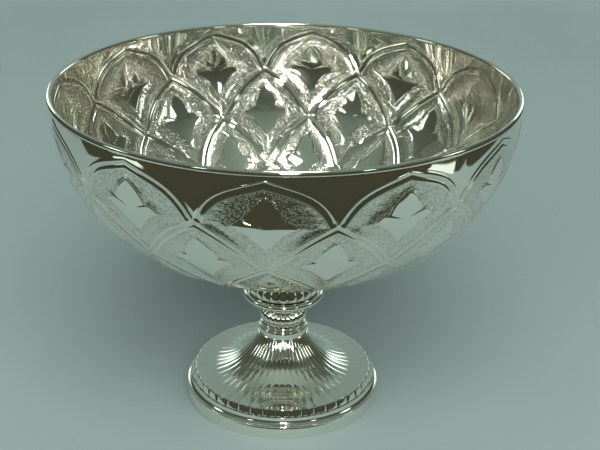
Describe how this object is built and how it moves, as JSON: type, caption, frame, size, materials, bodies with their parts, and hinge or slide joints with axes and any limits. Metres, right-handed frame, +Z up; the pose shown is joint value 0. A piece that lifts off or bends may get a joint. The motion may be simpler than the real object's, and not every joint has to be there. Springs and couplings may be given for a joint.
{
  "type": "punch bowl",
  "caption": "Round silver-plated pedestal bowl with a beaded rim, a body chased with overlapping pointed arches, a fluted knop stem and a reeded trumpet foot.",
  "frame": {"origin": "centre of the circle that the foot stands on, at floor level", "axes": "+Z up along the axis that every piece is turned about"},
  "size_m": [0.4, 0.4, 0.3],
  "materials": {
    "silver_plate": "mirror-polished silver plate over brass",
    "brass": "turned, unpolished",
    "fibre": "pressed fibre",
    "zinc_steel": "zinc plated"
  },
  "bodies": {
    "root": {"bowl_shell": "silver_plate", "rim_bead": "silver_plate", "seat_cup": "silver_plate", "stem_flange": "silver_plate", "stem_knop": "silver_plate", "knop_ring": "silver_plate", "foot_collar": "silver_plate", "foot_shell": "silver_plate", "foot_band": "silver_plate", "bowl_boss": "brass", "rod_bush": "brass", "clamp_plate": "brass", "bowl_gasket": "fibre", "tie_rod": "zinc_steel", "flat_washer": "zinc_steel", "spring_washer": "zinc_steel", "hex_nut": "zinc_steel", "foot_wire": "zinc_steel"}
  },
  "joints": []
}
